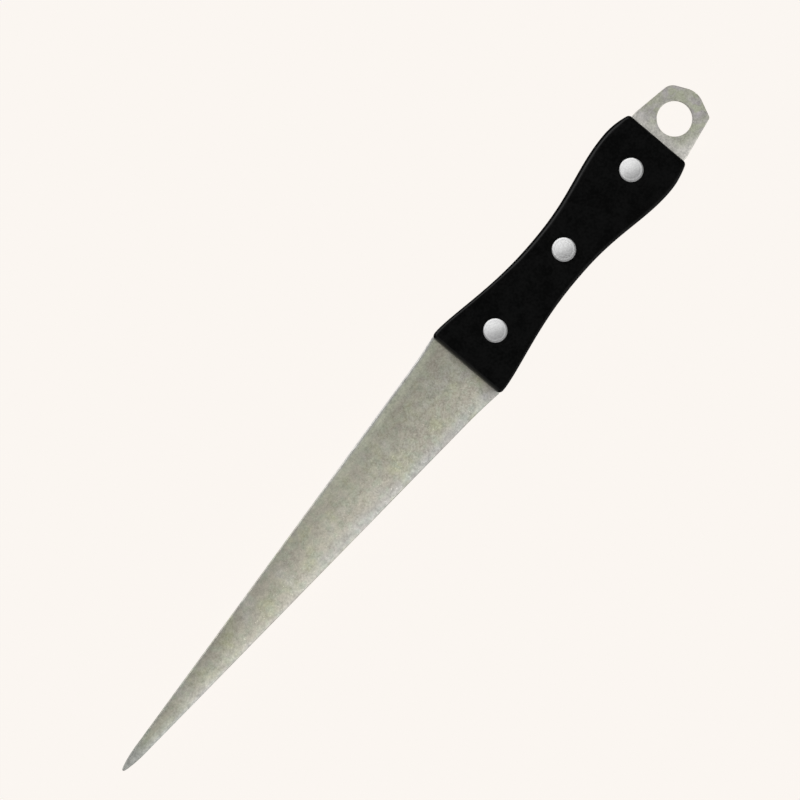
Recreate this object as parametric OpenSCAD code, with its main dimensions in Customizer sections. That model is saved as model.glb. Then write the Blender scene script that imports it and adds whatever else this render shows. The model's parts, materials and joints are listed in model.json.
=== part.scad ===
// Flat diamond-coated sharpening steel with a full tang, two riveted scales and a hanging eye.
// It lies on its back: +X points to the blade's tip, +Z is the front face's normal.
// The origin is under the middle of its length, on the surface that it lies on.

/* [Blade] */
// Length of the coated blade ahead of the scales
blade_l = 180.7; // [150:0.1:230]
// Width of the blade where it meets the scales
heel_w = 29.8; // [26:0.1:33]
// How much each side flares out beyond its straight taper at the heel
heel_flare = 0.6; // [0:0.1:1.5]
// Length of that flare
flare_l = 15; // [8:1:30]
// Width that the straight taper would reach at the tip
tip_w = 2.8; // [2.4:0.1:6]
// Length over which the tip rounds off
nose_l = 9; // [5:0.5:12]
// Thickness of the steel at the blade's long edges
edge_t = 1.6; // [1.2:0.1:2.4]
// Rounding of the blade's long edges
edge_r = 0.6; // [0.2:0.05:0.7]
// Thickness of the diamond coating
coat_t = 0.15; // [0.1:0.01:0.3]

/* [Tang] */
// Thickness of the plate under the scales and at the hanging eye
plate_t = 3; // [2.5:0.1:4]
// Rounding of the bare plate's edges
plate_edge_r = 0.3; // [0.1:0.05:0.6]
// How far the tang is set in from the scales' outline at the front
inset_front = 0.25; // [0.2:0.05:1]
// How far it is set in at the rear
inset_rear = 0.8; // [0.2:0.05:1.5]

/* [Hanging eye] */
// Length of the bare plate behind the scales
eye_l = 20.7; // [19:0.1:26]
// Width of the eye where it leaves the scales
eye_root_w = 23.3; // [22:0.1:25]
// Width of the eye at its two corners
eye_corner_w = 17.9; // [17:0.1:20]
// Slope of the two edges that meet at the end
eye_roof_angle = 25; // [10:1:35]
// Rounding in plan of the eye's corner on the +Y side
eye_left_corner_r = 1.2; // [0.5:0.1:5]
// Rounding in plan of the eye's corner on the -Y side, which is ground softer
eye_right_corner_r = 4.5; // [0.5:0.1:5]
// Rounding of the eye's point in plan
eye_point_r = 7.5; // [1:0.1:9]
// Diameter of the hanging hole
hole_d = 12.2; // [8:0.1:13]
// Distance from the scales' rear end to the hole's centre
hole_setback = 9.3; // [8:0.1:10]
// Chamfer at both mouths of the hole
hole_chamfer = 0.25; // [0.1:0.05:0.5]

/* [Scales] */
// Length of the scales
scale_l = 100.9; // [90:0.1:120]
// Thickness of one scale
scale_t = 6.25; // [5:0.25:8]
// Width across the front shoulder
front_w = 30.4; // [28:0.1:34]
// Width across the waist
waist_w = 20; // [18:0.1:24]
// Width across the rear swell
swell_w = 29.7; // [26:0.1:34]
// Distance from the front end to the front shoulder
shoulder_x = 2.5; // [0:0.1:5]
// Distance from the front end to the waist
waist_x = 46.2; // [40:0.1:52]
// Distance from the front end to the rear swell
swell_x = 90; // [80:0.1:95]
// How early the width falls behind the front shoulder, where 1 is evenly
front_skew = 0.72; // [0.6:0.01:1]
// How late the width grows towards the rear swell, where 1 is evenly
rear_skew = 1.25; // [1:0.01:1.6]
// Radius of curvature of the sides at the rear swell
swell_r = 26; // [20:1:60]
// Rounding of the front corners in plan
front_corner_r = 1.7; // [1.6:0.1:4]
// Rounding of the rear corners in plan
rear_corner_r = 1.6; // [1.5:0.1:4]
// Rounding between the face and the sides in the front half, and at the rear end
face_r_front = 1.3; // [0.8:0.1:1.5]
// The softer rounding in the rear half
face_r_rear = 2; // [1:0.1:2.5]
// How far the front end's rounding reaches back in plan
nose_round_w = 1.5; // [1:0.1:1.6]
// How far it reaches down the front end
nose_round_h = 4; // [1:0.1:5]

/* [Rivets] */
// Distance from the scales' front end to the first rivet
rivet_setback = 15.6; // [10:0.1:20]
// Distance from the first rivet to the middle one
rivet_pitch_front = 36; // [25:0.1:38]
// Distance from the middle rivet to the rear one
rivet_pitch_rear = 35.4; // [25:0.1:38]
// Diameter of a rivet's head
head_d = 8.3; // [7:0.05:9]
// Depth that the head is let into the scale
head_sink = 0.9; // [0.6:0.1:1.5]
// Height of the head's straight rim above the scale
head_rim = 0.1; // [0.05:0.05:0.3]
// Height of the dome above the rim
dome_h = 0.45; // [0.2:0.05:1]
// Diameter of the solid pin on the front half of a rivet
pin_d = 3.2; // [2.5:0.1:3.6]
// Outer diameter of the tubular back half
tube_d = 4.8; // [4.4:0.1:5.6]
// Gap between the rivet and the holes it goes through
hole_gap = 0.05; // [0.02:0.01:0.1]

/* [Hidden] */

$fn = 96;
total_l = blade_l + scale_l + eye_l;
// X of the scales' front end, which is where the coated blade begins
front_x = total_l / 2 - blade_l;
rear_x = front_x - scale_l;
hole_x = rear_x - hole_setback;
rivet_x = [
  front_x - rivet_setback,
  front_x - rivet_setback - rivet_pitch_front,
  front_x - rivet_setback - rivet_pitch_front - rivet_pitch_rear
];
// Half the height over the scales, and over the rivets' domes
grip_h = plate_t / 2 + scale_t;
mid_z = grip_h + head_rim + dome_h;
// Height of the blade's crown above its edges at the heel
crown_h = (plate_t - edge_t) / 2;
// Length ahead of the scales over which the flat plate turns into the crowned blade
blend_l = 6;
// How far the rivet's tube and pin reach past the middle of the plate
tube_reach = 4;
pin_reach = 4.5;
// Depth of solid metal under the floor of the tube
tube_floor = 1;
// Overlap that keeps a cut from leaving a skin
cut = 1;

// Steps along each stretch of the outlines, and across a face and an edge
nose_steps = 8;
taper_steps = 8;
flare_steps = 6;
grip_steps = 30;
swell_steps = 8;
corner_steps = 5;
edge_steps = 3;
face_steps = 8;
face_edge_steps = 5;
dome_steps = 8;

// ---- helpers ----

function mix(a, b, f) = a + (b - a) * f;
function clamp01(f) = max(0, min(1, f));
function smooth(f) = clamp01(f) * clamp01(f) * (3 - 2 * clamp01(f));
// Half a cosine wave from a to b as f goes from 0 to 1
function wave(a, b, f) = mix(a, b, (1 - cos(180 * f)) / 2);
function unit(v) = v / norm(v);

// Points of an arc of radius r that rounds the corner b between a and c
function round_corner(a, b, c, r, steps) =
  let (
    u = unit(a - b),
    w = unit(c - b),
    half = acos(u * w) / 2,
    centre = b + unit(u + w) * r / sin(half),
    from = b + u * r / tan(half) - centre,
    to = b + w * r / tan(half) - centre,
    turn = 180 - 2 * half
  )
  [
    for (i = [0:steps])
      let (a = turn * i / steps)
      centre + (from * sin(turn - a) + to * sin(a)) / sin(turn)
  ];

// Outward normals of a half outline that runs from +X to -X on the +Y side
function normals(path) = [
  for (i = [0:len(path) - 1])
    let (
      before = path[max(0, i - 1)],
      after = path[min(len(path) - 1, i + 1)],
      along = unit(after - before)
    )
    [along.y, -along.x]
];

// Two triangles for each side of the strip between loops a and b, which start at these point numbers
function strip(a, b, n, flip) = [
  for (j = [0:n - 1])
    let (k = (j + 1) % n)
    each flip
      ? [[a + j, b + j, b + k], [a + j, b + k, a + k]]
      : [[a + j, b + k, b + j], [a + j, a + k, b + k]]
];

// Cap over a loop whose two halves mirror each other, point j facing point n - 1 - j
function cap(a, n, flip) = [
  for (j = [0:n / 2 - 2])
    let (p = a + j, q = a + j + 1, r = a + n - 2 - j, s = a + n - 1 - j)
    each flip
      ? [[p, q, r], [p, r, s]]
      : [[p, r, q], [p, s, r]]
];

// Faces of a closed skin over m loops of n points each, from point number a
function skin(a, m, n, flip) = concat(
  cap(a, n, flip),
  [for (i = [0:m - 2]) each strip(a + i * n, a + (i + 1) * n, n, flip)],
  cap(a + (m - 1) * n, n, !flip)
);

// ---- outlines in plan, as half outlines on the +Y side, from +X to -X ----

// Half width of the coated blade at distance t ahead of the scales
function blade_half_w(t) =
  mix(heel_w / 2 - heel_flare, tip_w / 2, t / blade_l) + heel_flare * pow(max(0, 1 - t / flare_l), 2);

// The nose is a quarter of an ellipse, and the tip is blunt where it stops short of 90 degrees
last_nose_angle = 80;
nose_angles = [for (i = [0:nose_steps]) last_nose_angle * (1 - i / nose_steps)];

// Stations along the blade as [distance ahead of the scales, share of the full width]
blade_stations = concat(
  [for (a = nose_angles) [blade_l - nose_l + nose_l * sin(a) / sin(last_nose_angle), cos(a)]],
  [for (i = [1:taper_steps]) [mix(blade_l - nose_l, flare_l, i / taper_steps), 1]],
  [for (i = [1:flare_steps]) [flare_l * (1 - i / flare_steps), 1]]
);
blade_path = [for (s = blade_stations) [front_x + s[0], blade_half_w(s[0]) * s[1]]];

// Half width of the scales at distance s behind their front end
function scale_half_w(s) =
  s < shoulder_x ? front_w / 2
  : s < waist_x ? wave(front_w, waist_w, pow((s - shoulder_x) / (waist_x - shoulder_x), front_skew)) / 2
  : s < swell_x ? wave(waist_w, swell_w, pow((s - waist_x) / (swell_x - waist_x), rear_skew)) / 2
  : swell_w / 2 - pow(s - swell_x, 2) / (2 * swell_r);

// Distances behind the front end at which the scales' sides are drawn
grip_stations = concat(
  [for (i = [0:grip_steps]) mix(shoulder_x + 1, swell_x, i / grip_steps)],
  [for (i = [1:swell_steps]) mix(swell_x, scale_l - rear_corner_r - 0.5, i / swell_steps)]
);

scale_path = concat(
  round_corner(
    [front_x, 0],
    [front_x, scale_half_w(0)],
    [front_x - shoulder_x, scale_half_w(0)],
    front_corner_r,
    corner_steps
  ),
  [for (s = grip_stations) [front_x - s, scale_half_w(s)]],
  round_corner(
    [rear_x + rear_corner_r, scale_half_w(scale_l - rear_corner_r)],
    [rear_x, scale_half_w(scale_l)],
    [rear_x, 0],
    rear_corner_r,
    corner_steps
  )
);

// Radius of the rounding between the face and the side at distance s behind the front end
function side_round(s) =
  let (soft = smooth((s - 25) / 20) * smooth((scale_l - rear_corner_r - s) / 4))
  mix(face_r_front, face_r_rear, soft);

// Width and height of the rounding at each point of the scales' outline. The first points are the
// front corner's, where the front end's rounding turns into the side's
scale_rounding = [
  for (i = [0:len(scale_path) - 1])
    let (r = side_round(front_x - scale_path[i].x), nose = max(0, 1 - i / corner_steps))
    [mix(r, nose_round_w, nose), mix(r, nose_round_h, nose)]
];

// Half width of the tang at distance s behind the scales' front end
function tang_half_w(s) =
  mix(
    scale_half_w(s) - mix(inset_front, inset_rear, s / scale_l),
    eye_root_w / 2,
    smooth((s - scale_l + 3) / 3)
  );

// The eye's plan: root, corner and point
eye_root = [rear_x - 2, eye_root_w / 2];
eye_end_x = rear_x - eye_l - eye_point_r * (1 / cos(eye_roof_angle) - 1);
eye_corner = [eye_end_x + tan(eye_roof_angle) * eye_corner_w / 2, eye_corner_w / 2];
eye_point = [eye_end_x, 0];
// The point's arc stops short of the middle by this angle
point_gap_angle = 5;

function eye_path(corner_r) = concat(
  [[rear_x, eye_root_w / 2], eye_root],
  round_corner(eye_root, eye_corner, eye_point, corner_r, corner_steps),
  [
    for (i = [0:corner_steps])
      let (a = mix(eye_roof_angle, point_gap_angle, i / corner_steps))
      [rear_x - eye_l + eye_point_r * (1 - cos(a)), eye_point_r * sin(a)]
  ]
);

tang_steps = grip_steps + swell_steps;
function tang_path(corner_r) = concat(
  [
    for (i = [0:tang_steps])
      let (s = mix(0.5, scale_l - 0.5, i / tang_steps))
      [front_x - s, tang_half_w(s)]
  ],
  eye_path(corner_r)
);

// ---- sections of the plate and the blade ----

// Upper half of one edge: p is the outline's point, n its normal, e half the thickness at the edge
// and r the edge's rounding
function edge_arc(p, n, e, r) = [
  for (i = [0:edge_steps])
    let (a = 90 * i / edge_steps, d = r * (1 - cos(a)))
    [p.x - n.x * d, p.y - n.y * d, e - r + r * sin(a)]
];

// One closed loop round the steel, with the crown rising h above the edges: p and n are the outline's
// point and normal on the +Y side, and q and m the ones on the -Y side, mirrored to the +Y side
function section(p, n, q, m, e, h, r) =
  let (
    edge = edge_arc(p, n, e, r),
    far_edge = [for (a = edge_arc(q, m, e, r)) [a.x, -a.y, a.z]],
    face = [
      for (i = [1:face_steps - 1])
        let (f = i / face_steps)
        mix(edge[edge_steps], far_edge[edge_steps], f) + [0, 0, 4 * h * f * (1 - f)]
    ],
    upper = concat(edge, face, [for (i = [edge_steps:-1:0]) far_edge[i]])
  )
  concat(upper, [for (i = [len(upper) - 1:-1:0]) [upper[i].x, upper[i].y, -upper[i].z]]);

// Number of points in a section
section_n = 2 * (2 * (edge_steps + 1) + face_steps - 1);
// Narrowest half width of the steel at the tip, and the share of its edge thickness left there
min_half_w = 0.2;
tip_thinning = 0.45;

// Loops along the blade, at this depth under the coating's outer surface
function blade_loops(depth) =
  let (n = normals(blade_path))
  [
    for (i = [0:len(blade_path) - 1])
      let (
        t = blade_stations[i][0],
        nose = blade_stations[i][1],
        p = [blade_path[i].x - n[i].x * depth, max(min_half_w, blade_path[i].y - n[i].y * depth)],
        crowned = smooth(t / blend_l),
        e = coat_t - depth + mix(plate_t, edge_t * mix(tip_thinning, 1, nose), crowned) / 2,
        h = crown_h * blade_half_w(t) / (heel_w / 2) * nose * crowned,
        r = min(mix(plate_edge_r, edge_r, crowned), p.y * 0.7, e * 0.9)
      )
      section(p, n[i], p, n[i], e, h, r)
  ];

// Loops along the tang and the eye
function tang_loops() =
  let (
    left = tang_path(eye_left_corner_r),
    right = tang_path(eye_right_corner_r),
    left_n = normals(left),
    right_n = normals(right)
  )
  [
    for (i = [0:len(left) - 1])
      section(left[i], left_n[i], right[i], right_n[i], plate_t / 2, 0, min(plate_edge_r, left[i].y * 0.5))
  ];

// ---- sub-parts ----

module at_mid() {
  translate([0, 0, mid_z]) children();
}

module rivet_holes(d) {
  for (x = rivet_x)
    translate([x, 0, -grip_h - cut]) cylinder(h = 2 * (grip_h + cut), d = d);
}

module hanging_hole() {
  translate([hole_x, 0, 0]) {
    cylinder(h = plate_t + 2 * cut, d = hole_d, center = true);
    for (side = [-1, 1])
      scale([1, 1, side])
        translate([0, 0, plate_t / 2 - hole_chamfer])
          cylinder(h = hole_chamfer + cut, r1 = hole_d / 2, r2 = hole_d / 2 + hole_chamfer + cut);
  }
}

module steel_core() {
  loops = concat(blade_loops(coat_t), tang_loops());
  color([0.62, 0.62, 0.59])
    at_mid()
      difference() {
        polyhedron(
          points = [for (loop = loops) each loop],
          faces = skin(0, len(loops), section_n, false),
          convexity = 6
        );
        rivet_holes(tube_d + 2 * hole_gap);
        hanging_hole();
      }
}

module diamond_coating() {
  outer = blade_loops(0);
  inner = blade_loops(coat_t);
  n = section_n;
  m = len(outer);
  inner_start = m * n;
  heel = (m - 1) * n;
  color([0.66, 0.65, 0.58])
    at_mid()
      polyhedron(
        points = [for (loop = concat(outer, inner)) each loop],
        faces = concat(
          cap(0, n, false),
          [for (i = [0:m - 2]) each strip(i * n, (i + 1) * n, n, false)],
          strip(heel, inner_start + heel, n, false),
          [for (i = [0:m - 2]) each strip(inner_start + i * n, inner_start + (i + 1) * n, n, true)],
          cap(inner_start, n, true)
        ),
        convexity = 6
      );
}

// One scale, its flat inner face at z = 0
module scale_body() {
  n = normals(scale_path);
  count = len(scale_path);
  foot = [for (p = scale_path) [p.x, p.y, 0]];
  // Rings up the side and over the rounded edge
  rings = [
    for (k = [0:face_edge_steps])
      let (a = 90 * k / face_edge_steps)
      [
        for (i = [0:count - 1])
          let (r = scale_rounding[i], p = scale_path[i] - n[i] * r[0] * (1 - cos(a)))
          [p.x, p.y, scale_t - r[1] * (1 - sin(a))]
      ]
  ];
  loops = [
    for (side = concat([foot], rings))
      concat(side, [for (i = [count - 1:-1:0]) [side[i].x, -side[i].y, side[i].z]])
  ];
  polyhedron(
    points = [for (loop = loops) each loop],
    faces = skin(0, len(loops), 2 * count, false),
    convexity = 6
  );
}

module drilled_scale() {
  difference() {
    translate([0, 0, plate_t / 2]) scale_body();
    rivet_holes(tube_d + 2 * hole_gap);
    for (x = rivet_x)
      translate([x, 0, grip_h - head_sink]) cylinder(h = head_sink + cut, d = head_d + 2 * hole_gap);
  }
}

module front_scale() {
  color([0.05, 0.05, 0.05]) at_mid() drilled_scale();
}

module back_scale() {
  color([0.05, 0.05, 0.05]) at_mid() rotate([180, 0, 0]) drilled_scale();
}

// A domed head with its underside at z = 0, and a shank of diameter shank_d that reaches down
module rivet_blank(shank_d, shank_l) {
  dome_radius = (pow(head_d / 2, 2) + pow(dome_h, 2)) / (2 * dome_h);
  dome_angle = asin(head_d / 2 / dome_radius);
  rim_z = head_sink + head_rim;
  rotate_extrude()
    polygon(concat(
      [[0, -shank_l], [shank_d / 2, -shank_l], [shank_d / 2, 0], [head_d / 2, 0]],
      [
        for (i = [0:dome_steps])
          let (a = dome_angle * (1 - i / dome_steps))
          [dome_radius * sin(a), rim_z + dome_radius * (cos(a) - cos(dome_angle))]
      ]
    ));
}

// Front half of a rivet: a domed head with a solid pin
module rivet_pin(x) {
  color([0.76, 0.76, 0.76])
    at_mid()
      translate([x, 0, grip_h - head_sink])
        rivet_blank(pin_d, grip_h - head_sink + pin_reach);
}

// Back half of a rivet: a domed head with a tube that the pin is pressed into
module rivet_tube(x) {
  tube_l = grip_h - head_sink + tube_reach;
  color([0.76, 0.76, 0.76])
    at_mid()
      rotate([180, 0, 0])
        translate([x, 0, grip_h - head_sink])
          difference() {
            rivet_blank(tube_d, tube_l);
            translate([0, 0, -tube_l - cut]) cylinder(h = tube_l + cut - tube_floor, d = pin_d);
          }
}

steel_core();
diamond_coating();
front_scale();
back_scale();
rivet_pin(rivet_x[0]);  // rivet_pin_front
rivet_pin(rivet_x[1]);  // rivet_pin_middle
rivet_pin(rivet_x[2]);  // rivet_pin_rear
rivet_tube(rivet_x[0]);  // rivet_tube_front
rivet_tube(rivet_x[1]);  // rivet_tube_middle
rivet_tube(rivet_x[2]);  // rivet_tube_rear
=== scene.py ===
import json
import math

import bmesh
import bpy
import numpy as np
from mathutils import Matrix, Vector, noise


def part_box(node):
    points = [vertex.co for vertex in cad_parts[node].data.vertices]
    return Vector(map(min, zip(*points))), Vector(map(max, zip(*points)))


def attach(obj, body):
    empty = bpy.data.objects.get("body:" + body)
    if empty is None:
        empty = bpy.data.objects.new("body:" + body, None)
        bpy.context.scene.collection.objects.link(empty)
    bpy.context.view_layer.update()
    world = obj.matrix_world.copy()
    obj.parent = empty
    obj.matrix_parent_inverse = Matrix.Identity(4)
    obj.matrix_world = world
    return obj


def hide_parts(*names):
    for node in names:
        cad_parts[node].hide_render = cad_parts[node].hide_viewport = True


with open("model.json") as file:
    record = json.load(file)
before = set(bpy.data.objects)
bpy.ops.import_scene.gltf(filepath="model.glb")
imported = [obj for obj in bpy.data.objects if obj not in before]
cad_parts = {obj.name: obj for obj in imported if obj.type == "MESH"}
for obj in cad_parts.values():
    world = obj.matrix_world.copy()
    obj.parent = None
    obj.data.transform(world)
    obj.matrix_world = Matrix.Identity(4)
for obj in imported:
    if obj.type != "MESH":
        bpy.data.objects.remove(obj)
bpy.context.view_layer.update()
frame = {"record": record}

MM = 0.001

# ---- places and sizes that the frame gives, in millimetres ----

coat_lo, coat_hi = (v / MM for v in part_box("diamond_coating"))
core_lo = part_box("steel_core")[0] / MM
front_lo, front_hi = (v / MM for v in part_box("front_scale"))
back_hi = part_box("back_scale")[1] / MM
rivet_lo, rivet_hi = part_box("rivet_pin_front")
hole = frame["record"]["mounts"][0]


def middle_x(node):
    """The middle of a CAD node along the length."""
    low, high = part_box(node)
    return (low + high).x / 2 / MM


# X of the scales' front end, where the coated blade begins, and of their rear end
FRONT_X = coat_lo.x
REAR_X = front_lo.x
BLADE_L = coat_hi.x - FRONT_X
SCALE_L = FRONT_X - REAR_X
# The plate's middle plane
MID_Z = (front_lo.z + back_hi.z) / 2
PLATE_T = front_lo.z - back_hi.z
SCALE_T = front_hi.z - front_lo.z
# Half the height over the scales
GRIP_H = PLATE_T / 2 + SCALE_T
FRONT_W = front_hi.y - front_lo.y
HOLE_X = hole["pos_m"][0] / MM
HOLE_R = hole["dims"]["r_mm"]
RIVETS = {place: middle_x("rivet_pin_" + place) for place in ("front", "middle", "rear")}
HEAD_R = (rivet_hi.y - rivet_lo.y) / 2 / MM

# ---- the CAD model's own proportions, in millimetres ----

# Width of the blade where it meets the scales, and how far and over what length each side flares out there
HEEL_W = 29.8
HEEL_FLARE = 0.6
FLARE_L = 15.0
# Width that the straight taper would reach at the tip
TIP_W = 2.8
# The nose is a quarter of an ellipse that stops at this angle
NOSE_L = 9.0
NOSE_ANGLE = math.radians(80)
# Narrowest half width of the blade, and the share of its edge thickness left at the tip
MIN_HALF_W = 0.2
TIP_THINNING = 0.45
# Thickness and rounding of the blade's long edges
EDGE_T = 1.6
EDGE_R = 0.6
COAT_T = 0.15
# Length over which the flat plate turns into the crowned blade, and the crown's height at the heel
BLEND_L = 6.0
CROWN_H = 0.7
# Rounding of the bare plate's edges
PLATE_EDGE_R = 0.3
# How far the tang is set in from the scales' outline at the front and at the rear
INSET_FRONT = 0.25
INSET_REAR = 0.8
# The hanging eye: width at its root and its corners, slope of its end, roundings in plan
EYE_ROOT_W = 23.3
EYE_CORNER_W = 17.9
EYE_ROOF_ANGLE = math.radians(25)
EYE_LEFT_R = 1.2
EYE_RIGHT_R = 4.5
EYE_POINT_R = 7.5
# Widths of the scales, and how far behind their front end the shoulder, the waist and the swell are
WAIST_W = 20.0
SWELL_W = 29.7
SHOULDER_X = 2.5
WAIST_X = 46.2
SWELL_X = 90.0
# How early the width falls behind the shoulder and how late it grows to the swell, where 1 is evenly
FRONT_SKEW = 0.72
REAR_SKEW = 1.25
# Radius of curvature of the sides at the swell
SWELL_R = 26.0
# Rounding of the scales' corners in plan
FRONT_CORNER_R = 1.7
REAR_CORNER_R = 1.6
# Rounding between the face and the sides in the front half and in the rear half
FACE_R_FRONT = 1.3
FACE_R_REAR = 2.0
# Width and height of the rounding over the front end
NOSE_ROUND_W = 1.5
NOSE_ROUND_H = 4.0
# A rivet's head: depth let into the scale, height of its straight rim above it and of the dome above that
HEAD_SINK = 0.9
HEAD_RIM = 0.1
DOME_H = 0.45
# Gap between a rivet and the holes it goes through
HOLE_GAP = 0.05
# A rivet's solid pin and its tubular half: diameters, reach past the middle plane, metal under the bore
PIN_D = 3.2
TUBE_D = 4.8
PIN_REACH = 4.5
TUBE_REACH = 4.0
TUBE_FLOOR = 1.0

# ---- fine shapes that only the visual model has, in millimetres ----

# Length over which the very tip is rounded off, and the share of it at which the mesh's last loop lies
TIP_ROUND = 0.35
LAST_TIP_LOOP = 0.98
# Rounding of the hanging hole's mouths
MOUTH_R = 0.25
# Bevel of the scales' and the rivet heads' small edges, and of the rivets' far ends
BEVEL = 0.12
PIN_CHAMFER = 0.3
TUBE_CHAMFER = 0.2
# The blade's grit: height of its grains, how far it is sunk to stay inside the CAD model's box,
# and how many coarse and fine grains there are to a millimetre, with the fine ones' share
GRIT_H = 0.011
GRIT_SINK = 0.008
COARSE_GRAINS = 1.7
FINE_GRAINS = 3.9
FINE_SHARE = 0.7
# Widths of the strips along the blade's sides where its colour turns, and of the brink, where its grit is low
RIM_W = 5.0
COOL_W = 7.0
BRINK_W = 1.5
# A rivet head's shoulder, as shares of the head's radius and of the dome's height
SHOULDER_R = 0.8
SHOULDER_H = 0.52
# The shallow ring that the setting die leaves: its place as a share of the radius, its width and depth
RING_R = 0.72
RING_W = 0.12
RING_DEPTH = 0.016
# Points closer than this are joined after a cut, and cutters reach this far past what they cut
WELD = 0.002
OVERLAP = 1.0

# ---- points or steps along each stretch of a mesh ----

NOSE_STEPS = 40
FLARE_STEPS = 40
EDGE_STEPS = 6
COATING_STEPS = 330
COATING_FACE_STEPS = 48
CORE_STEPS = 40
CORE_FACE_STEPS = 16
TANG_STEPS = 160
EYE_CORNER_STEPS = 12
EYE_POINT_STEPS = 20
GRIP_STEPS = 150
SWELL_STEPS = 24
CORNER_STEPS = 14
FACE_EDGE_STEPS = 15
MOUTH_STEPS = 5
LIP_STEPS = 4
SHOULDER_STEPS = 15
DOME_STEPS = 48
LATHE_STEPS = 96


# ---- small helpers ----

def mix(a, b, f):
    return a + (b - a) * f


def smooth(f):
    f = np.clip(f, 0, 1)
    return f * f * (3 - 2 * f)


def rise(v, start, end):
    """Rises smoothly from 0 to 1 as v goes from start to end."""
    return smooth((v - start) / (end - start))


def wave(a, b, f):
    """Half a cosine wave from a to b as f goes from 0 to 1."""
    return mix(a, b, (1 - np.cos(np.pi * f)) / 2)


def unit(v):
    return v / np.linalg.norm(v)


def round_corner(a, b, c, r, steps):
    """Points of the arc of radius r that rounds the corner b between a and c."""
    a, b, c = (np.array(p, float) for p in (a, b, c))
    u, w = unit(a - b), unit(c - b)
    half = math.acos(float(u @ w)) / 2
    centre = b + unit(u + w) * r / math.sin(half)
    start, end = b + u * r / math.tan(half) - centre, b + w * r / math.tan(half) - centre
    turn = math.pi - 2 * half
    return [
        centre + (start * math.sin(turn - k) + end * math.sin(k)) / math.sin(turn)
        for k in np.linspace(0, turn, steps + 1)
    ]


def outward(path):
    """Normals of a half outline that runs from +X to -X on the +Y side."""
    path = np.asarray(path)
    along = np.empty_like(path)
    along[1:-1] = path[2:] - path[:-2]
    along[0], along[-1] = path[1] - path[0], path[-1] - path[-2]
    along /= np.linalg.norm(along, axis=1)[:, None]
    return np.stack([along[:, 1], -along[:, 0]], 1)


def new_object(name, points, faces):
    """A mesh object from points in millimetres about the middle plane, with its faces turned outwards."""
    mesh = bpy.data.meshes.new(name)
    points = np.asarray(points, float) + (0, 0, MID_Z)
    mesh.from_pydata((points * MM).tolist(), [], faces)
    bm = bmesh.new()
    bm.from_mesh(mesh)
    bmesh.ops.recalc_face_normals(bm, faces=bm.faces)
    bm.to_mesh(mesh)
    bm.free()
    obj = bpy.data.objects.new(name, mesh)
    bpy.context.scene.collection.objects.link(obj)
    return obj


def bridge(a, b, n):
    """Quads between two closed loops of n points each that start at these point numbers."""
    return [(a + j, a + (j + 1) % n, b + (j + 1) % n, b + j) for j in range(n)]


def strips(count, n, first=0):
    """Quads between successive closed loops of n points each."""
    return [quad for i in range(count - 1) for quad in bridge(first + i * n, first + (i + 1) * n, n)]


def mirrored_cap(first, n):
    """Quads that close a loop whose point j faces point n - 1 - j."""
    return [(first + j, first + j + 1, first + n - 2 - j, first + n - 1 - j) for j in range(n // 2 - 1)]


def loft(name, loops, ngon_caps=False):
    """A closed skin over loops of one length, given as an array of shape (loops, points, 3)."""
    m, n = loops.shape[:2]
    if ngon_caps:
        caps = [tuple(range(n)), tuple(range((m - 1) * n, m * n))]
    else:
        caps = mirrored_cap(0, n) + mirrored_cap((m - 1) * n, n)
    return new_object(name, loops.reshape(-1, 3), strips(m, n) + caps)


def lathe(name, profile, x, side=1):
    """A solid turned about the line x, y = 0 from (radius, height) pairs that start and end on the axis.
    With side -1 it is turned over about the middle plane."""
    angles = np.linspace(0, 2 * np.pi, LATHE_STEPS, endpoint=False)
    points = [(x, 0, side * profile[0][1])]
    for r, z in profile[1:-1]:
        points += [(x + r * math.cos(a), r * math.sin(a), side * z) for a in angles]
    points.append((x, 0, side * profile[-1][1]))
    last, rings = len(points) - 1, len(profile) - 2
    last_ring = 1 + (rings - 1) * LATHE_STEPS
    faces = [(0, 1 + j, 1 + (j + 1) % LATHE_STEPS) for j in range(LATHE_STEPS)]
    faces += strips(rings, LATHE_STEPS, 1)
    faces += [(last, last_ring + (j + 1) % LATHE_STEPS, last_ring + j) for j in range(LATHE_STEPS)]
    return new_object(name, points, faces)


def arc(r0, z0, r1, z1, steps):
    """Quarter arc between two (radius, height) points that leaves the first along the height."""
    k = np.linspace(0, np.pi / 2, steps + 1)
    return [(mix(r0, r1, a), mix(z0, z1, b)) for a, b in zip(1 - np.cos(k), np.sin(k))]


def carve(obj, cutters):
    """Takes the cutters' shapes out of obj and removes them."""
    for cutter in cutters:
        modifier = obj.modifiers.new("cut", "BOOLEAN")
        modifier.operation = "DIFFERENCE"
        modifier.solver = "EXACT"
        modifier.object = cutter
    graph = bpy.context.evaluated_depsgraph_get()
    carved = bpy.data.meshes.new_from_object(obj.evaluated_get(graph), depsgraph=graph)
    # Points that the cut left on top of each other are joined
    bm = bmesh.new()
    bm.from_mesh(carved)
    bmesh.ops.remove_doubles(bm, verts=bm.verts, dist=WELD * MM)
    bmesh.ops.dissolve_degenerate(bm, edges=bm.edges, dist=WELD * MM)
    bm.to_mesh(carved)
    bm.free()
    obj.modifiers.clear()
    obj.data = carved
    for cutter in cutters:
        bpy.data.objects.remove(cutter)


def finish_shading(obj, sharp_degrees):
    """Smooth shading that keeps flat faces flat and breaks at edges sharper than this angle."""
    for polygon in obj.data.polygons:
        polygon.use_smooth = True
    obj.data.set_sharp_from_angle(angle=math.radians(sharp_degrees))
    weighted = obj.modifiers.new("weighted", "WEIGHTED_NORMAL")
    weighted.mode = "FACE_AREA"
    weighted.keep_sharp = True
    weighted.weight = 80


# ---- outlines in plan ----

def blade_half_w(t):
    """Half width of the coated blade at distance t ahead of the scales."""
    flare = HEEL_FLARE * np.maximum(0, 1 - t / FLARE_L) ** 2
    return mix(HEEL_W / 2 - HEEL_FLARE, TIP_W / 2, t / BLADE_L) + flare


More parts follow.
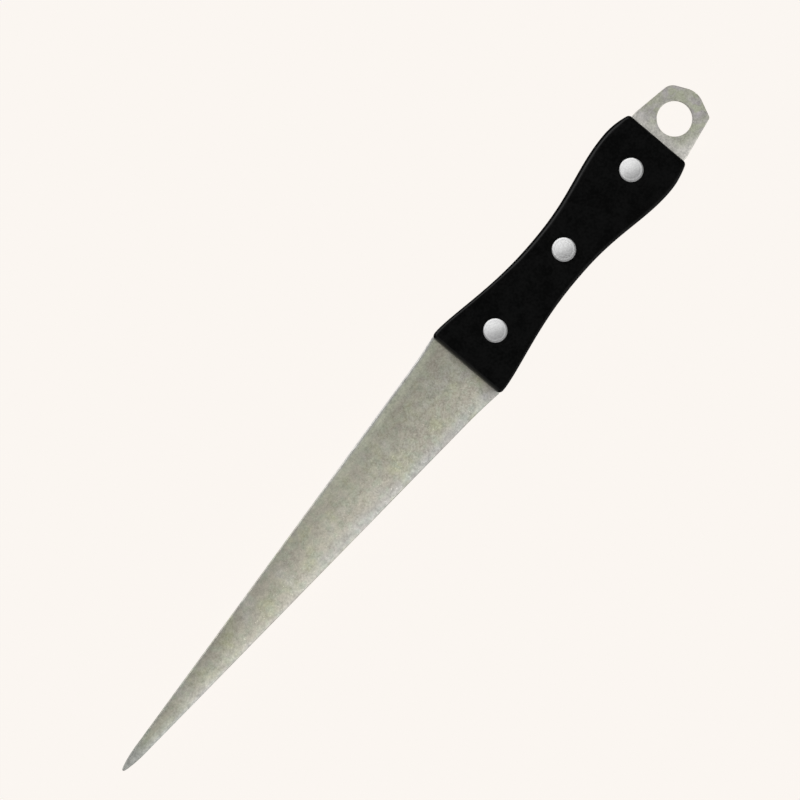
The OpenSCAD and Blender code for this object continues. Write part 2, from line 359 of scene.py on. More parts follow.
def scale_half_w(s):
    """Half width of the scales at distance s behind their front end."""
    to_waist = np.clip((s - SHOULDER_X) / (WAIST_X - SHOULDER_X), 0, 1) ** FRONT_SKEW
    to_swell = np.clip((s - WAIST_X) / (SWELL_X - WAIST_X), 0, 1) ** REAR_SKEW
    front = wave(FRONT_W, WAIST_W, to_waist) / 2
    rear = wave(WAIST_W, SWELL_W, to_swell) / 2
    end = SWELL_W / 2 - (s - SWELL_X) ** 2 / (2 * SWELL_R)
    return np.where(s < WAIST_X, front, np.where(s < SWELL_X, rear, end))


def tang_half_w(s):
    """Half width of the tang at distance s behind the scales' front end."""
    body = scale_half_w(s) - mix(INSET_FRONT, INSET_REAR, s / SCALE_L)
    return mix(body, EYE_ROOT_W / 2, smooth((s - SCALE_L + 3) / 3))


def scale_rounding(path):
    """Width and height of the rounding over the side at each point of the scales' outline."""
    s = FRONT_X - path[:, 0]
    soft = rise(s, 25, 45) * smooth((SCALE_L - REAR_CORNER_R - s) / 4)
    r = mix(FACE_R_FRONT, FACE_R_REAR, soft)
    # The first points are the front corner's, where the front end's rounding turns into the side's
    nose = np.clip(1 - np.arange(len(path)) / CORNER_STEPS, 0, 1)
    return mix(r, NOSE_ROUND_W, nose), mix(r, NOSE_ROUND_H, nose)


def scale_outline():
    """Half outline of the scales on the +Y side, from +X to -X."""
    shoulder = (FRONT_X - SHOULDER_X, FRONT_W / 2)
    rear_side = (REAR_X + REAR_CORNER_R, float(scale_half_w(SCALE_L - REAR_CORNER_R)))
    rear_corner = (REAR_X, float(scale_half_w(SCALE_L)))
    stations = np.concatenate([
        np.linspace(SHOULDER_X + 0.6, SWELL_X, GRIP_STEPS, endpoint=False),
        np.linspace(SWELL_X, SCALE_L - REAR_CORNER_R - 0.3, SWELL_STEPS),
    ])
    return np.array(
        round_corner((FRONT_X, 0), (FRONT_X, FRONT_W / 2), shoulder, FRONT_CORNER_R, CORNER_STEPS)
        + [(FRONT_X - s, float(scale_half_w(s))) for s in stations]
        + round_corner(rear_side, rear_corner, (REAR_X, 0), REAR_CORNER_R, CORNER_STEPS)
    )


def tang_outline(eye_corner_r):
    """Half outline of the tang and the hanging eye, whose corner has this rounding."""
    end_x = core_lo.x - EYE_POINT_R * (1 / math.cos(EYE_ROOF_ANGLE) - 1)
    root = (REAR_X - 2, EYE_ROOT_W / 2)
    corner = (end_x + math.tan(EYE_ROOF_ANGLE) * EYE_CORNER_W / 2, EYE_CORNER_W / 2)
    stations = np.linspace(0.5, SCALE_L - 0.3, TANG_STEPS)
    # The point's arc stops just short of the middle
    arc_angles = np.linspace(EYE_ROOF_ANGLE, math.radians(2), EYE_POINT_STEPS)
    return np.array(
        [(FRONT_X - s, float(tang_half_w(s))) for s in stations]
        + [(REAR_X, EYE_ROOT_W / 2), root]
        + round_corner(root, corner, (end_x, 0), eye_corner_r, EYE_CORNER_STEPS)
        + [(core_lo.x + EYE_POINT_R * (1 - math.cos(a)), EYE_POINT_R * math.sin(a)) for a in arc_angles]
    )


# ---- sections of the plate and of the blade ----

def edge_arc(p, n, e, r):
    """Upper half of one edge at outline point p with normal n: e is half its thickness and r its rounding."""
    a = np.linspace(0, np.pi / 2, EDGE_STEPS + 1)
    inset = r * (1 - np.cos(a))
    return np.stack([p[0] - n[0] * inset, p[1] - n[1] * inset, e - r + r * np.sin(a)], 1)


def section(left, right, e, h, r, face_steps):
    """A closed loop round the steel, with a crown of height h. left and right are (outline point, normal),
    and right is the -Y side's, mirrored to +Y."""
    edge = edge_arc(*left, e, r)
    far_edge = edge_arc(*right, e, r) * (1, -1, 1)
    f = np.linspace(0, 1, face_steps + 1)[1:-1, None]
    face = mix(edge[-1], far_edge[-1], f) + (0, 0, 4 * h) * (f * (1 - f))
    upper = np.concatenate([edge, face, far_edge[::-1]])
    return np.concatenate([upper, upper[::-1] * (1, 1, -1)])


def blade_loops(depth, taper_steps, face_steps):
    """Loops along the blade, from the tip to the heel, at this depth under the coating's outer surface, and
    each loop's distance ahead of the scales."""
    nose = np.linspace(NOSE_ANGLE, 0, NOSE_STEPS)
    t = np.concatenate([
        BLADE_L - NOSE_L + NOSE_L * np.sin(nose) / math.sin(NOSE_ANGLE),
        np.linspace(BLADE_L - NOSE_L, FLARE_L, taper_steps + 1)[1:],
        np.linspace(FLARE_L, 0, FLARE_STEPS)[1:],
    ])
    share = np.concatenate([np.cos(nose), np.ones(len(t) - len(nose))])
    # The very tip is rounded off in plan and in thickness alike
    blunt = np.sqrt(1 - ((t - BLADE_L + TIP_ROUND) / TIP_ROUND).clip(0, LAST_TIP_LOOP) ** 2)
    path = np.stack([FRONT_X + t, blade_half_w(t) * share], 1)
    n = outward(path)
    loops = []
    for i in range(len(t)):
        half_w = max(MIN_HALF_W, path[i, 1] - n[i, 1] * depth) * blunt[i]
        crowned = float(smooth(t[i] / BLEND_L))
        steel_t = mix(PLATE_T, EDGE_T * mix(TIP_THINNING, 1, share[i]), crowned)
        e = (COAT_T - depth + steel_t / 2) * blunt[i]
        h = CROWN_H * blade_half_w(t[i]) / (HEEL_W / 2) * share[i] * crowned * blunt[i]
        r = min(mix(PLATE_EDGE_R, EDGE_R, crowned), half_w * 0.7, e * 0.9)
        side = (path[i, 0] - n[i, 0] * depth, half_w), n[i]
        loops.append(section(side, side, e, h, r, face_steps))
    return np.array(loops), t


# ---- node helpers ----

class Nodes:
    """A material with a Principled shader, and short calls for the nodes that drive it."""

    def __init__(self, name, **plain):
        self.material = bpy.data.materials.new(name)
        self.material.use_nodes = True
        self.tree = self.material.node_tree
        self.shader = self.tree.nodes["Principled BSDF"]
        for socket, value in plain.items():
            self.shader.inputs[socket.replace("_", " ")].default_value = value
        self.place = self.add("ShaderNodeTexCoord").outputs["Object"]

    def feed(self, socket, value):
        """Links another node's socket to this one, or sets it to a plain value."""
        if isinstance(value, bpy.types.NodeSocket):
            self.tree.links.new(value, socket)
        else:
            socket.default_value = value

    def add(self, kind, inputs=(), **settings):
        node = self.tree.nodes.new(kind)
        for key, value in settings.items():
            setattr(node, key, value)
        for key, value in dict(inputs).items():
            self.feed(node.inputs[key], value)
        return node

    def drive(self, socket, source):
        self.tree.links.new(source, self.shader.inputs[socket])

    def stretched(self, x, y, turn):
        """The place in space, scaled along X and Y and turned about Z."""
        inputs = {"Vector": self.place, "Scale": (x, y, 1.0), "Rotation": (0, 0, turn)}
        return self.add("ShaderNodeMapping", inputs).outputs[0]

    def noise(self, size_mm, detail=2.0, rough=0.5, at=None, shift=0.0):
        """Noise whose features are about this many millimetres across. A shift sets two patterns apart."""
        where = self.place if at is None else at
        if shift:
            inputs = {0: where, 1: (shift, shift * 0.7, shift * 1.3)}
            where = self.add("ShaderNodeVectorMath", inputs, operation="ADD").outputs[0]
        inputs = {"Vector": where, "Scale": 1 / (size_mm * MM), "Detail": detail, "Roughness": rough}
        return self.add("ShaderNodeTexNoise", inputs).outputs["Fac"]

    def cells(self, size_mm):
        """The outputs of a texture of cells of about this size."""
        inputs = {"Vector": self.place, "Scale": 1 / (size_mm * MM)}
        return self.add("ShaderNodeTexVoronoi", inputs, feature="F1").outputs

    def remap(self, value, low, high, to_low, to_high):
        inputs = {"Value": value, "From Min": low, "From Max": high, "To Min": to_low, "To Max": to_high}
        return self.add("ShaderNodeMapRange", inputs).outputs[0]

    def share(self, value, low, high):
        """Rises from 0 to 1 as a value goes from low to high."""
        return self.remap(value, low, high, 0, 1)

    def swing(self, value, to_low, to_high):
        """Turns noise, which lies between about 0.3 and 0.7, into this range."""
        return self.remap(value, 0.3, 0.7, to_low, to_high)

    def fade(self, value, to_low, to_high):
        """Turns a share, from 0 to 1, into this range."""
        return self.remap(value, 0, 1, to_low, to_high)

    def math(self, operation, a, b):
        return self.add("ShaderNodeMath", {0: a, 1: b}, operation=operation).outputs[0]

    def plus(self, a, b):
        return self.math("ADD", a, b)

    def times(self, a, b):
        return self.math("MULTIPLY", a, b)

    def blend(self, factor, a, b, kind="MIX"):
        """Colour a turned into b, or with kind MULTIPLY tinted by b, by a factor from 0 to 1."""
        node = self.add("ShaderNodeMix", {0: factor}, data_type="RGBA", blend_type=kind)
        # The two colours are sockets 6 and 7, and the mixed one is output 2
        for index, colour in ((6, a), (7, b)):
            self.feed(node.inputs[index], (*colour, 1.0) if isinstance(colour, tuple) else colour)
        return node.outputs[2]

    def scaled(self, colour, factor):
        """A colour times a number from a socket."""
        return self.add("ShaderNodeVectorMath", {0: colour, "Scale": factor}, operation="SCALE").outputs[0]

    def bump(self, height, strength, depth_mm, after=None):
        inputs = {"Strength": strength, "Distance": depth_mm * MM, "Height": height}
        if after is not None:
            inputs["Normal"] = after
        return self.add("ShaderNodeBump", inputs).outputs[0]

    def ramp(self, axis, low_mm, high_mm):
        """Rises smoothly from 0 to 1 between two places along an axis, given in millimetres."""
        along = self.add("ShaderNodeSeparateXYZ", {"Vector": self.place}).outputs[axis]
        inputs = {"Value": along, "From Min": low_mm * MM, "From Max": high_mm * MM}
        return self.add("ShaderNodeMapRange", inputs, interpolation_type="SMOOTHSTEP").outputs[0]

    def attribute(self, name):
        return self.add("ShaderNodeAttribute", attribute_name=name).outputs["Fac"]


# ---- materials ----

# The grit's main tones and its spots
GRIT_GREEN = (0.41, 0.408, 0.296)
GRIT_GREY = (0.445, 0.429, 0.378)
GRIT_TAN = (0.42, 0.395, 0.33)
GRIT_SPOT = (0.388, 0.405, 0.323)
# Painted light: the lighter colours that it turns to along the blade's sides, where the edges catch the
# lamps; and the cool cast that it takes there, which is its own
PAINTED_LIGHT_RIM_WARM = (0.54, 0.558, 0.44)
PAINTED_LIGHT_RIM_PALE = (0.565, 0.555, 0.50)
RIM_CAST = (0.975, 1.0, 1.11)
# Its cast in the dull stretch before the tip, and its colour at the tip
DULL_CAST = (0.97, 1.0, 0.985)
TIP_GREY = (0.375, 0.38, 0.36)
# The bare steel's main tones, its spots, and its painted light
STEEL_GREEN = (0.355, 0.355, 0.295)
STEEL_GREY = (0.37, 0.35, 0.35)
STEEL_SPOT = (0.34, 0.35, 0.27)
STEEL_PAINTED_LIGHT = (0.57, 0.555, 0.515)
# The plastic's mottle, and its worn rims
PLASTIC_DEEP = (0.0002, 0.0002, 0.0002)
PLASTIC_PALE = (0.0125, 0.0125, 0.0125)
PLASTIC_WORN = (0.006, 0.006, 0.0058)
RIVET_DARK = (0.80, 0.80, 0.80)
RIVET_LIGHT = (0.84, 0.84, 0.835)


def grit_material():
    m = Nodes("diamond_grit", Metallic=0.75, Specular_IOR_Level=0.5)
    patches = m.share(m.noise(10, 3, 0.6), 0.38, 0.62)
    tints = m.share(m.noise(6, shift=0.31), 0.4, 0.6)
    spots = m.share(m.noise(2.6, shift=0.47), 0.5, 0.66)
    colour = m.blend(patches, GRIT_GREEN, GRIT_GREY)
    colour = m.blend(tints, colour, GRIT_TAN)
    colour = m.blend(m.times(spots, 0.7), colour, GRIT_SPOT)
    # Painted light: lighter strips along the blade's sides. The cool cast after them is the grit's own.
    colour = m.blend(m.attribute("warm_rim"), colour, PAINTED_LIGHT_RIM_WARM)
    colour = m.blend(m.attribute("pale_rim"), colour, PAINTED_LIGHT_RIM_PALE)
    colour = m.blend(m.attribute("cool_rim"), colour, RIM_CAST, "MULTIPLY")
    # The grit is finer and duller towards the tip, and the tip itself is greyer
    dull = m.ramp("X", FRONT_X + BLADE_L - 45, FRONT_X + BLADE_L - 12)
    tip = m.ramp("X", FRONT_X + BLADE_L - 15, FRONT_X + BLADE_L - 6)
    colour = m.blend(dull, colour, DULL_CAST, "MULTIPLY")
    colour = m.blend(m.times(tip, 0.85), colour, TIP_GREY)
    # Its tone varies in blotches, and in grains and specks that are weaker where it is worn or dull
    blotch = m.noise(1.9, shift=0.23)
    grain = m.noise(0.8, rough=0.6)
    speck = m.noise(0.34, 1, shift=0.17)
    worn = m.attribute("worn")
    sharp = m.plus(m.swing(grain, -0.15, 0.15), m.swing(speck, -0.07, 0.07))
    sharp = m.times(sharp, m.fade(worn, 1.05, 0.75))
    sharp = m.times(sharp, m.fade(dull, 1, 0.65))
    tone = m.plus(m.swing(blotch, 0.87, 1.13), sharp)
    # A few grains glint: they are smoother, and their colour is made lighter, a painted glint
    pick = m.add("ShaderNodeSeparateColor", {"Color": m.cells(0.22)["Color"]}).outputs["Red"]
    glint = m.times(m.share(pick, 0.93, 1.0), m.fade(dull, 1, 0.3))
    tone = m.plus(tone, m.times(glint, 0.3))
    # Painted light and shade: lighter along the blade's middle, darker next to the scales and towards the tip
    tone = m.times(tone, m.fade(worn, 0.87, 1.03))
    m.drive("Base Color", m.scaled(colour, tone))
    rough = m.math("SUBTRACT", m.swing(grain, 0.52, 0.42), m.times(glint, 0.2))
    m.drive("Roughness", m.plus(rough, m.times(dull, 0.2)))
    facets = m.cells(0.16)["Distance"]
    m.drive("Normal", m.bump(facets, 0.3, 0.03, m.bump(grain, 0.5, 0.05)))
    return m.material


def steel_material():
    m = Nodes("blasted_steel", Metallic=0.75, Specular_IOR_Level=0.5)
    patches = m.share(m.noise(8, 3, 0.6, shift=0.05), 0.38, 0.62)
    spots = m.share(m.noise(3.2, shift=0.37), 0.48, 0.62)
    colour = m.blend(patches, STEEL_GREEN, STEEL_GREY)
    colour = m.blend(m.times(spots, 0.9), colour, STEEL_SPOT)
    # Painted light: lighter where it leaves the scales, and along its +Y side near them
    painted_light_plus_y_root = m.times(m.ramp("Y", 6.5, 11), m.ramp("X", REAR_X - 18, REAR_X - 2))
    painted_light_mask = m.plus(m.ramp("X", REAR_X - 6, REAR_X), painted_light_plus_y_root)
    colour = m.blend(m.math("MINIMUM", painted_light_mask, 1.0), colour, STEEL_PAINTED_LIGHT)
    # Its tone varies in blotches, grains, specks and a few light scratches
    blotch = m.noise(1.7, shift=0.29)
    grain = m.noise(0.7, 3, 0.6)
    speck = m.noise(0.3, 1, shift=0.11)
    scratches = m.noise(1.4, at=m.stretched(14.0, 1.0, 0.5))
    tone = m.plus(m.swing(blotch, 0.86, 1.14), m.swing(grain, -0.18, 0.18))
    tone = m.plus(tone, m.swing(speck, -0.1, 0.1))
    tone = m.plus(tone, m.remap(scratches, 0.62, 0.75, 0, 0.08))
    m.drive("Base Color", m.scaled(colour, tone))
    m.drive("Roughness", m.swing(grain, 0.5, 0.4))
    m.drive("Normal", m.bump(speck, 0.3, 0.02, m.bump(grain, 0.4, 0.03)))
    return m.material


def plastic_material():
    m = Nodes("black_plastic", Specular_IOR_Level=0.4)
    cloud = m.noise(6, 3, 0.6)
    curdle = m.noise(0.9, 3, 0.7)
    fine = m.noise(0.35)
    mottle = m.plus(m.remap(cloud, 0.38, 0.62, 0, 0.7), m.remap(curdle, 0.39, 0.61, -0.35, 0.65))
    colour = m.blend(mottle, PLASTIC_DEEP, PLASTIC_PALE)
    wear = m.times(m.attribute("rim"), m.share(m.noise(2.2, 3, 0.6, shift=0.23), 0.45, 0.65))
    m.drive("Base Color", m.blend(wear, colour, PLASTIC_WORN))
    rough = m.remap(cloud, 0.35, 0.65, 0.3, 0.36)
    m.drive("Roughness", m.plus(rough, m.times(wear, 0.06)))
    m.drive("Normal", m.bump(fine, 0.12, 0.01))
    return m.material


def rivet_material():
    m = Nodes("satin_rivet", Metallic=1.0)
    # Fine polishing lines run one way, and a few darker ones run across them
    lines = m.noise(0.55, 3, 0.6, at=m.stretched(9.0, 1.0, 0.7))
    across = m.noise(0.8, at=m.stretched(1.0, 11.0, -0.5), shift=0.07)
    smudge = m.noise(0.6, 1, shift=0.19)
    fine = m.noise(0.2)
    tone = m.plus(m.swing(lines, 0.83, 1.09), m.remap(across, 0.6, 0.75, 0, -0.12))
    tone = m.plus(tone, m.swing(smudge, -0.08, 0.08))
    colour = m.blend(m.noise(1.5), RIVET_DARK, RIVET_LIGHT)
    m.drive("Base Color", m.scaled(colour, tone))
    m.drive("Roughness", m.swing(fine, 0.32, 0.4))
    m.drive("Normal", m.bump(lines, 0.15, 0.01, m.bump(fine, 0.15, 0.008)))
    return m.material


def set_attribute(obj, name, values):
    obj.data.attributes.new(name, "FLOAT", "POINT").data.foreach_set("value", np.asarray(values, np.float32))


def add_piece(obj, material, slot, *nodes):
    """Gives an object its material, hangs it on the root body and hides the CAD nodes that it stands for."""
    obj.data.materials.clear()
    obj.data.materials.append(material)
    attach(obj, "root")
    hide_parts(*nodes)
    return obj


# ---- the diamond coating: a thin shell with real grit on its outer surface ----

def skin_normals(loops):
    """Unit normals of a closed skin over loops, pointing away from each loop's middle."""
    before, after = np.roll(loops, 1, 1), np.roll(loops, -1, 1)
    normal = np.cross(after - before, np.gradient(loops, axis=0))
    normal /= np.maximum(np.linalg.norm(normal, axis=2), 1e-9)[..., None]
    centre = loops.mean(1, keepdims=True)
    return normal * np.sign((normal * (loops - centre)).sum(2))[..., None]


def grain_height(point):
    """How far the grit stands up or lies low at a point of the blade, from about -1 to 1."""
    point = Vector(point)
    return noise.noise(point * COARSE_GRAINS) + FINE_SHARE * noise.noise(point * FINE_GRAINS)


def rim_tints(y, t, inwards):
    """Weights of the grit's colours near the blade's sides, at points y across it, t along it and this far
    inwards from its side. Its warm strip along the -Y side and its paler strips along the +Y side and at the
    -Y brink are painted light, where the edges catch the lamps; its cooler cast at both edges is its own."""
    rim = smooth(1 - inwards / RIM_W)
    brink = 1 - smooth(inwards / BRINK_W)
    painted_light_minus_y = rim * (y < 0) * (1 - rise(t, 30, 90))
    painted_light_plus_y = rim * (y > 0) * mix(0.2 * (1 - brink), 0.7, rise(t, 116, 156))
    cool_side = smooth(1 - inwards / COOL_W) * (y > 0) * (1 - rise(t, 65, 110))
    return {
        "warm_rim": painted_light_minus_y * (1 - brink),
        "pale_rim": painted_light_minus_y * brink + painted_light_plus_y,
        "cool_rim": np.maximum(cool_side, brink * 0.8),
    }


def coating():
    outer, t = blade_loops(0, COATING_STEPS, COATING_FACE_STEPS)
    inner, _ = blade_loops(COAT_T, COATING_STEPS, COATING_FACE_STEPS)
    m, n = outer.shape[:2]
    y = outer[..., 1]
    half = np.maximum(np.abs(y).max(1), 0.3)[:, None]
    inwards = half - np.abs(y)
    # The grit fades out at the tip, the sides and the scales
    grit = np.array([grain_height(p) for p in outer.reshape(-1, 3)])
    fade = np.minimum(smooth((BLADE_L - t) / 3), smooth(t / 1.0)) * mix(0.1, 1, blade_half_w(t) * 2 / HEEL_W)
    fade = fade[:, None] * mix(0.4, 1, smooth(inwards / BRINK_W))
    rough = outer + skin_normals(outer) * (grit.reshape(m, n) * GRIT_H * fade - GRIT_SINK)[..., None]
    points = np.concatenate([rough.reshape(-1, 3), inner.reshape(-1, 3)])
    # An outer and an inner skin, joined round the heel
    heel = (m - 1) * n
    faces = mirrored_cap(0, n) + strips(m, n) + mirrored_cap(m * n, n) + strips(m, n, m * n)
    faces += bridge(heel, m * n + heel, n)
    obj = new_object("grit_coating", points, faces)
    # Painted light along the blade's sides, and the grit's own cool cast there, for each point of both skins
    for name, weight in rim_tints(y, t[:, None], inwards).items():
        set_attribute(obj, name, np.tile(weight.ravel(), 2))
    # Painted light and shade: the grit is lighter along the middle of the blade and darker next to the scales
    # and towards the tip. Use has also worn its grains weaker along the middle.
    worn = rise(t, 15, 70) * (1 - 0.65 * rise(t, 85, 160))
    set_attribute(obj, "worn", np.tile(np.repeat(worn, n), 2))
    finish_shading(obj, 40)
    return obj


# ---- the steel blank: blade core, tang and hanging eye in one ----

def round_mouth_cutter(name, x, radius, half_depth, mouth):
    """A cutter for a round hole whose two mouths are rounded over."""
    end = half_depth + OVERLAP
    side = [(radius, 0)] + arc(radius, half_depth - mouth, radius + mouth, half_depth, MOUTH_STEPS)
    side.append((radius + mouth, end))
    mirrored = [(r, -z) for r, z in side[:0:-1]]
    return lathe(name, [(0, -end)] + mirrored + side + [(0, end)], x)


def steel_blank():
    blade, _ = blade_loops(COAT_T, CORE_STEPS, CORE_FACE_STEPS)
    left, right = tang_outline(EYE_LEFT_R), tang_outline(EYE_RIGHT_R)
    tang = np.array([
        section((p, n), (q, m), PLATE_T / 2, 0, min(PLATE_EDGE_R, p[1] * 0.5), CORE_FACE_STEPS)
        for p, n, q, m in zip(left, outward(left), right, outward(right))
    ])
    obj = loft("steel_blank", np.concatenate([blade, tang]))
    shank_r = TUBE_D / 2 + HOLE_GAP
    reach = PLATE_T / 2 + OVERLAP
    shank = [(0, -reach), (shank_r, -reach), (shank_r, reach), (0, reach)]
    cutters = [round_mouth_cutter("hole_cutter", HOLE_X, HOLE_R, PLATE_T / 2, MOUTH_R)]
    cutters += [lathe(place + "_cutter", shank, x) for place, x in RIVETS.items()]
    carve(obj, cutters)
    finish_shading(obj, 35)
    return obj


# ---- the scales ----

def scale(name, side):
    """One scale with its rivet holes; side is 1 for the front one and -1 for the back one."""
    path = scale_outline()
    n = outward(path)
    width, height = scale_rounding(path)
    # Rings up the scale's side as (distance inside the outline, height above the tang)
    rings = [(BEVEL, 0.0), (0.0, BEVEL), (0.0, 1.2)]
    for a in np.linspace(0, np.pi / 2, FACE_EDGE_STEPS):
        rings.append((width * (1 - math.cos(a)), SCALE_T - height * (1 - math.sin(a))))
    loops = []
    for inset, z in rings:
        half = path - n * np.broadcast_to(inset, len(path))[:, None]
        upper = np.column_stack([half, side * (PLATE_T / 2 + np.broadcast_to(z, len(path)))])
        loops.append(np.concatenate([upper, upper[::-1] * (1, -1, 1)]))
    obj = loft(name, np.array(loops), ngon_caps=True)
    shank_r, head_r = TUBE_D / 2 + HOLE_GAP, HEAD_R + HOLE_GAP
    start, floor_z, end = PLATE_T / 2 - OVERLAP, GRIP_H - HEAD_SINK, GRIP_H + OVERLAP
    profile = [(0, start), (shank_r, start), (shank_r, floor_z), (head_r, floor_z)]
    profile += arc(head_r, GRIP_H - BEVEL, head_r + BEVEL, GRIP_H, LIP_STEPS)
    profile += [(head_r + BEVEL, end), (0, end)]
    carve(obj, [lathe(name + place, profile, x, side) for place, x in RIVETS.items()])
    # The rim round the face, where the plastic is a little worn
    points = np.array([v.co for v in obj.data.vertices]) / MM
    above = np.abs(points[:, 2] - MID_Z) - PLATE_T / 2
    rim = smooth((above - SCALE_T + FACE_R_REAR) / 0.5) * smooth((SCALE_T - above - 0.02) / 0.3)
    set_attribute(obj, "rim", rim)
    finish_shading(obj, 35)
    return obj


# ---- the rivets ----

def head_profile():
    """From the underside of a rivet's head up over its rim and its low crown, as (radius, height)."""
    under, rim_z = GRIP_H - HEAD_SINK, GRIP_H + HEAD_RIM
    shoulder_r, shoulder_z = HEAD_R * SHOULDER_R, rim_z + DOME_H * SHOULDER_H
    points = [(HEAD_R - BEVEL, under), (HEAD_R, under + BEVEL), (HEAD_R, rim_z - BEVEL)]
    for k in np.linspace(0, 1, SHOULDER_STEPS)[1:]:
        # A rounded shoulder that leaves the rim steeply and comes in flatter
        a = k * np.pi / 2
        r = mix(HEAD_R, shoulder_r, 1 - math.cos(a))
        points.append((r, mix(rim_z - BEVEL, shoulder_z, math.sin(a) ** 0.9)))
    for r in np.linspace(shoulder_r, 0, DOME_STEPS)[1:-1]:
        ring = RING_DEPTH * math.exp(-((r - HEAD_R * RING_R) / RING_W) ** 2)
        points.append((r, mix(rim_z + DOME_H, shoulder_z, (r / shoulder_r) ** 2) - ring))
    return points + [(0, rim_z + DOME_H)]


def rivet_half(name, x, side):
    """Half a rivet: the solid pin with its head on the front, side 1, or the tube with its head on the back,
    side -1."""
    under = GRIP_H - HEAD_SINK
    bore, wall = PIN_D / 2, TUBE_D / 2
    if side > 0:
        shank = [
            (0, -PIN_REACH),
            (bore - PIN_CHAMFER, -PIN_REACH),
            (bore, PIN_CHAMFER - PIN_REACH),
            (bore, under),
        ]
    else:
        shank = [
            (0, under - TUBE_FLOOR),
            (bore, under - TUBE_FLOOR),
            (bore, -TUBE_REACH),
            (wall - TUBE_CHAMFER, -TUBE_REACH),
            (wall, TUBE_CHAMFER - TUBE_REACH),
            (wall, under),
        ]
    obj = lathe(name, shank + head_profile(), x, side)
    finish_shading(obj, 40)
    return obj


# ---- build the object ----

grit = grit_material()
steel = steel_material()
plastic = plastic_material()
satin = rivet_material()
plates = [
    add_piece(coating(), grit, "diamond_grit", "diamond_coating"),
    add_piece(steel_blank(), steel, "steel", "steel_core"),
]
scales = [
    add_piece(scale("scale_front", 1), plastic, "scale_plastic", "front_scale"),
    add_piece(scale("scale_back", -1), plastic, "scale_plastic", "back_scale"),
]
rivets = []
for place, x in RIVETS.items():
    head = rivet_half("rivet_head_" + place, x, 1)
    rivets.append(add_piece(head, satin, "rivet_metal", "rivet_pin_" + place))
    foot = rivet_half("rivet_foot_" + place, x, -1)
    rivets.append(add_piece(foot, satin, "rivet_metal", "rivet_tube_" + place))

# ---- floor, backdrop, lights and camera, in metres ----

PAPER = (0.965, 0.922, 0.880)
# The floor glows nearly as bright as the backdrop, and its own shade under the fill light adds the rest
FLOOR_GLOW = 0.995
FLOOR_SHADE = 0.07
FLOOR_REACH = 6.0
FILL_RADIANCE = 0.07
# Four low lights stand round the rivets, at this distance and height
SIDE_DISTANCE = 1.3
SIDE_HEIGHT = 0.45
SIDE_SIZE = (2.6, 0.8)
SIDE_RADIANCES = (0.3, 0.35, 0.5, 0.5)


def link_light(obj, pieces):
    """Lets a light or a glowing object light only these pieces."""
    receivers = bpy.data.collections.new(obj.name + "_receivers")
    for piece in pieces:
        receivers.objects.link(piece)
    obj.light_linking.receiver_collection = receivers


def paper_floor(lit):
    """A glowing paper floor that lights only these pieces."""
    mesh = bpy.data.meshes.new("floor")
    corners = [(x * FLOOR_REACH, y * FLOOR_REACH, 0) for x, y in ((-1, -1), (1, -1), (1, 1), (-1, 1))]
    mesh.from_pydata(corners, [], [(0, 1, 2, 3)])
    floor = bpy.data.objects.new("floor", mesh)
    bpy.context.scene.collection.objects.link(floor)
    m = Nodes("paper", Roughness=1.0, Specular_IOR_Level=0.0, Emission_Strength=FLOOR_GLOW)
    m.shader.inputs["Base Color"].default_value = (*(FLOOR_SHADE * c for c in PAPER), 1)
    m.shader.inputs["Emission Color"].default_value = (*PAPER, 1)
    mesh.materials.append(m.material)
    link_light(floor, lit)


def softbox(name, place, size, radiance, pieces, past_floor=False):
    """A soft rectangular light that looks at the origin and lights only these pieces. With past_floor, the
    floor doesn't hide it from them."""
    light = bpy.data.lights.new(name, "AREA")
    light.shape = "RECTANGLE"
    light.size, light.size_y = size
    light.energy = radiance * math.pi * size[0] * size[1]
    obj = bpy.data.objects.new(name, light)
    obj.location = place
    obj.rotation_euler = (-Vector(place)).to_track_quat("-Z", "Y").to_euler()
    obj.visible_camera = False
    bpy.context.scene.collection.objects.link(obj)
    link_light(obj, pieces)
    if past_floor:
        obj.light_linking.blocker_collection = obj.light_linking.receiver_collection


def backdrop(fill):
    """A world that shows as pale paper and gives an even fill light of this radiance."""
    world = bpy.data.worlds.new("studio")
    world.use_nodes = True
    tree = world.node_tree
    seen = tree.nodes["Background"]
    seen.inputs["Color"].default_value = (*PAPER, 1)
    lit = tree.nodes.new("ShaderNodeBackground")
    lit.inputs["Color"].default_value = (fill, fill, fill, 1)
    path = tree.nodes.new("ShaderNodeLightPath")
    choose = tree.nodes.new("ShaderNodeMixShader")
    tree.links.new(path.outputs["Is Camera Ray"], choose.inputs[0])
    tree.links.new(lit.outputs[0], choose.inputs[1])
    tree.links.new(seen.outputs[0], choose.inputs[2])
    tree.links.new(choose.outputs[0], tree.nodes["World Output"].inputs["Surface"])
    bpy.context.scene.world = world


paper_floor(plates + rivets)
backdrop(FILL_RADIANCE)
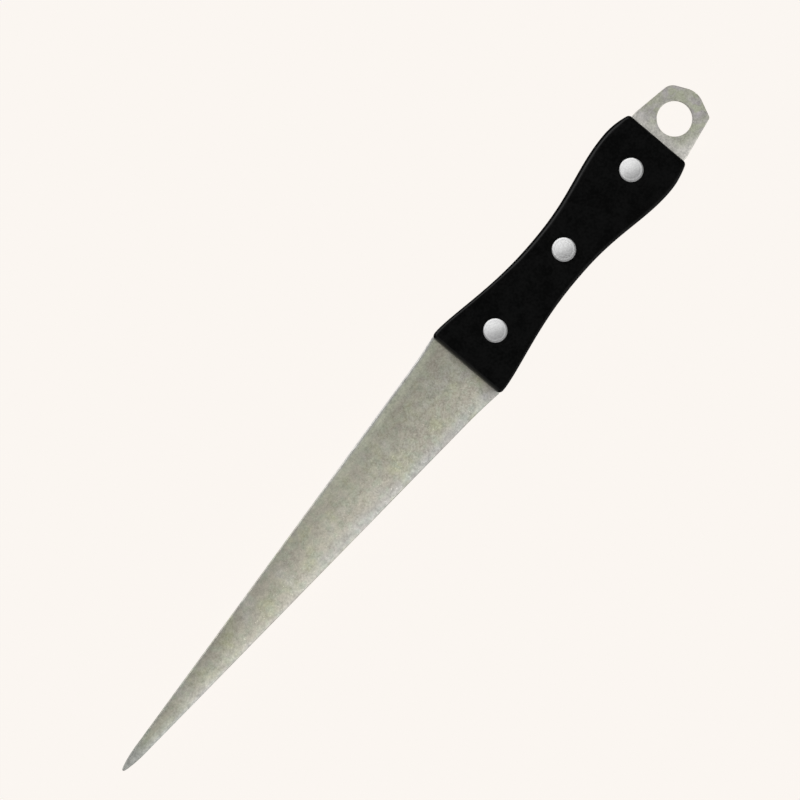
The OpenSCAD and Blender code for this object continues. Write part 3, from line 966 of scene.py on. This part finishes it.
# Each is given by its place, its size, its radiance and the pieces that it lights
softbox("plate_sky", (0.0, 0.69, 1.10), (2.0, 1.38), 2.0, plates)
softbox("plate_rear", (-0.9, -0.1, 0.9), (0.8, 0.8), 1.2, plates)
softbox("plate_fill", (0.0, -1.1, 0.5), (2.4, 1.0), 2.0, plates)
softbox("plate_edge", (0.0, 1.2, 0.3), (2.4, 0.55), 0.8, plates)
softbox("handle_key", (0.0, -1.04, 0.60), (1.8, 0.62), 1.3, scales)
softbox("handle_edge", (0.0, 1.1, -0.25), (2.4, 0.5), 2.1, scales, past_floor=True)
softbox("handle_nose", (1.15, 0.0, 0.5), (1.6, 0.8), 0.33, scales)
softbox("rivet_key", (-0.345, -0.63, 0.975), (1.6, 1.75), 1.11, rivets)
softbox("rivet_fill", (0.37, 0.65, 1.0), (1.8, 1.5), 0.23, rivets)
# The low ones keep the rivets' heads bright in every side view
for quarter, radiance in enumerate(SIDE_RADIANCES):
    around = math.radians(45 + 90 * quarter)
    stand = (SIDE_DISTANCE * math.cos(around), SIDE_DISTANCE * math.sin(around), SIDE_HEIGHT)
    softbox("rivet_side_%d" % quarter, stand, SIDE_SIZE, radiance, rivets)

# The camera looks straight down, turned so that the tip points to the lower left
CAMERA_TURN = math.radians(49.752)
# Its long lens and the width of its sensor, in millimetres
LENS = 250.0
SENSOR = 36.0
# The point that it aims at, and the width of its view there
AIM_X = -0.00626
AIM_Y = -0.00947
AIM_Z = 0.012
VIEW_W = 0.272

camera_data = bpy.data.cameras.new("camera")
camera_data.lens = LENS
camera_data.sensor_width = SENSOR
camera_data.clip_start = 0.05
camera_data.clip_end = 50
camera = bpy.data.objects.new("camera", camera_data)
right = Vector((-math.cos(CAMERA_TURN), math.sin(CAMERA_TURN), 0))
up = Vector((-math.sin(CAMERA_TURN), -math.cos(CAMERA_TURN), 0))
back = Vector((0, 0, 1))
lift = Matrix.Translation((AIM_X, AIM_Y, AIM_Z + VIEW_W * LENS / SENSOR))
camera.matrix_world = lift @ Matrix((right, up, back)).transposed().to_4x4()
bpy.context.scene.collection.objects.link(camera)
bpy.context.scene.camera = camera

scene = bpy.context.scene
scene.view_settings.view_transform = "Standard"
scene.view_settings.look = "None"

bpy.context.view_layer.update()
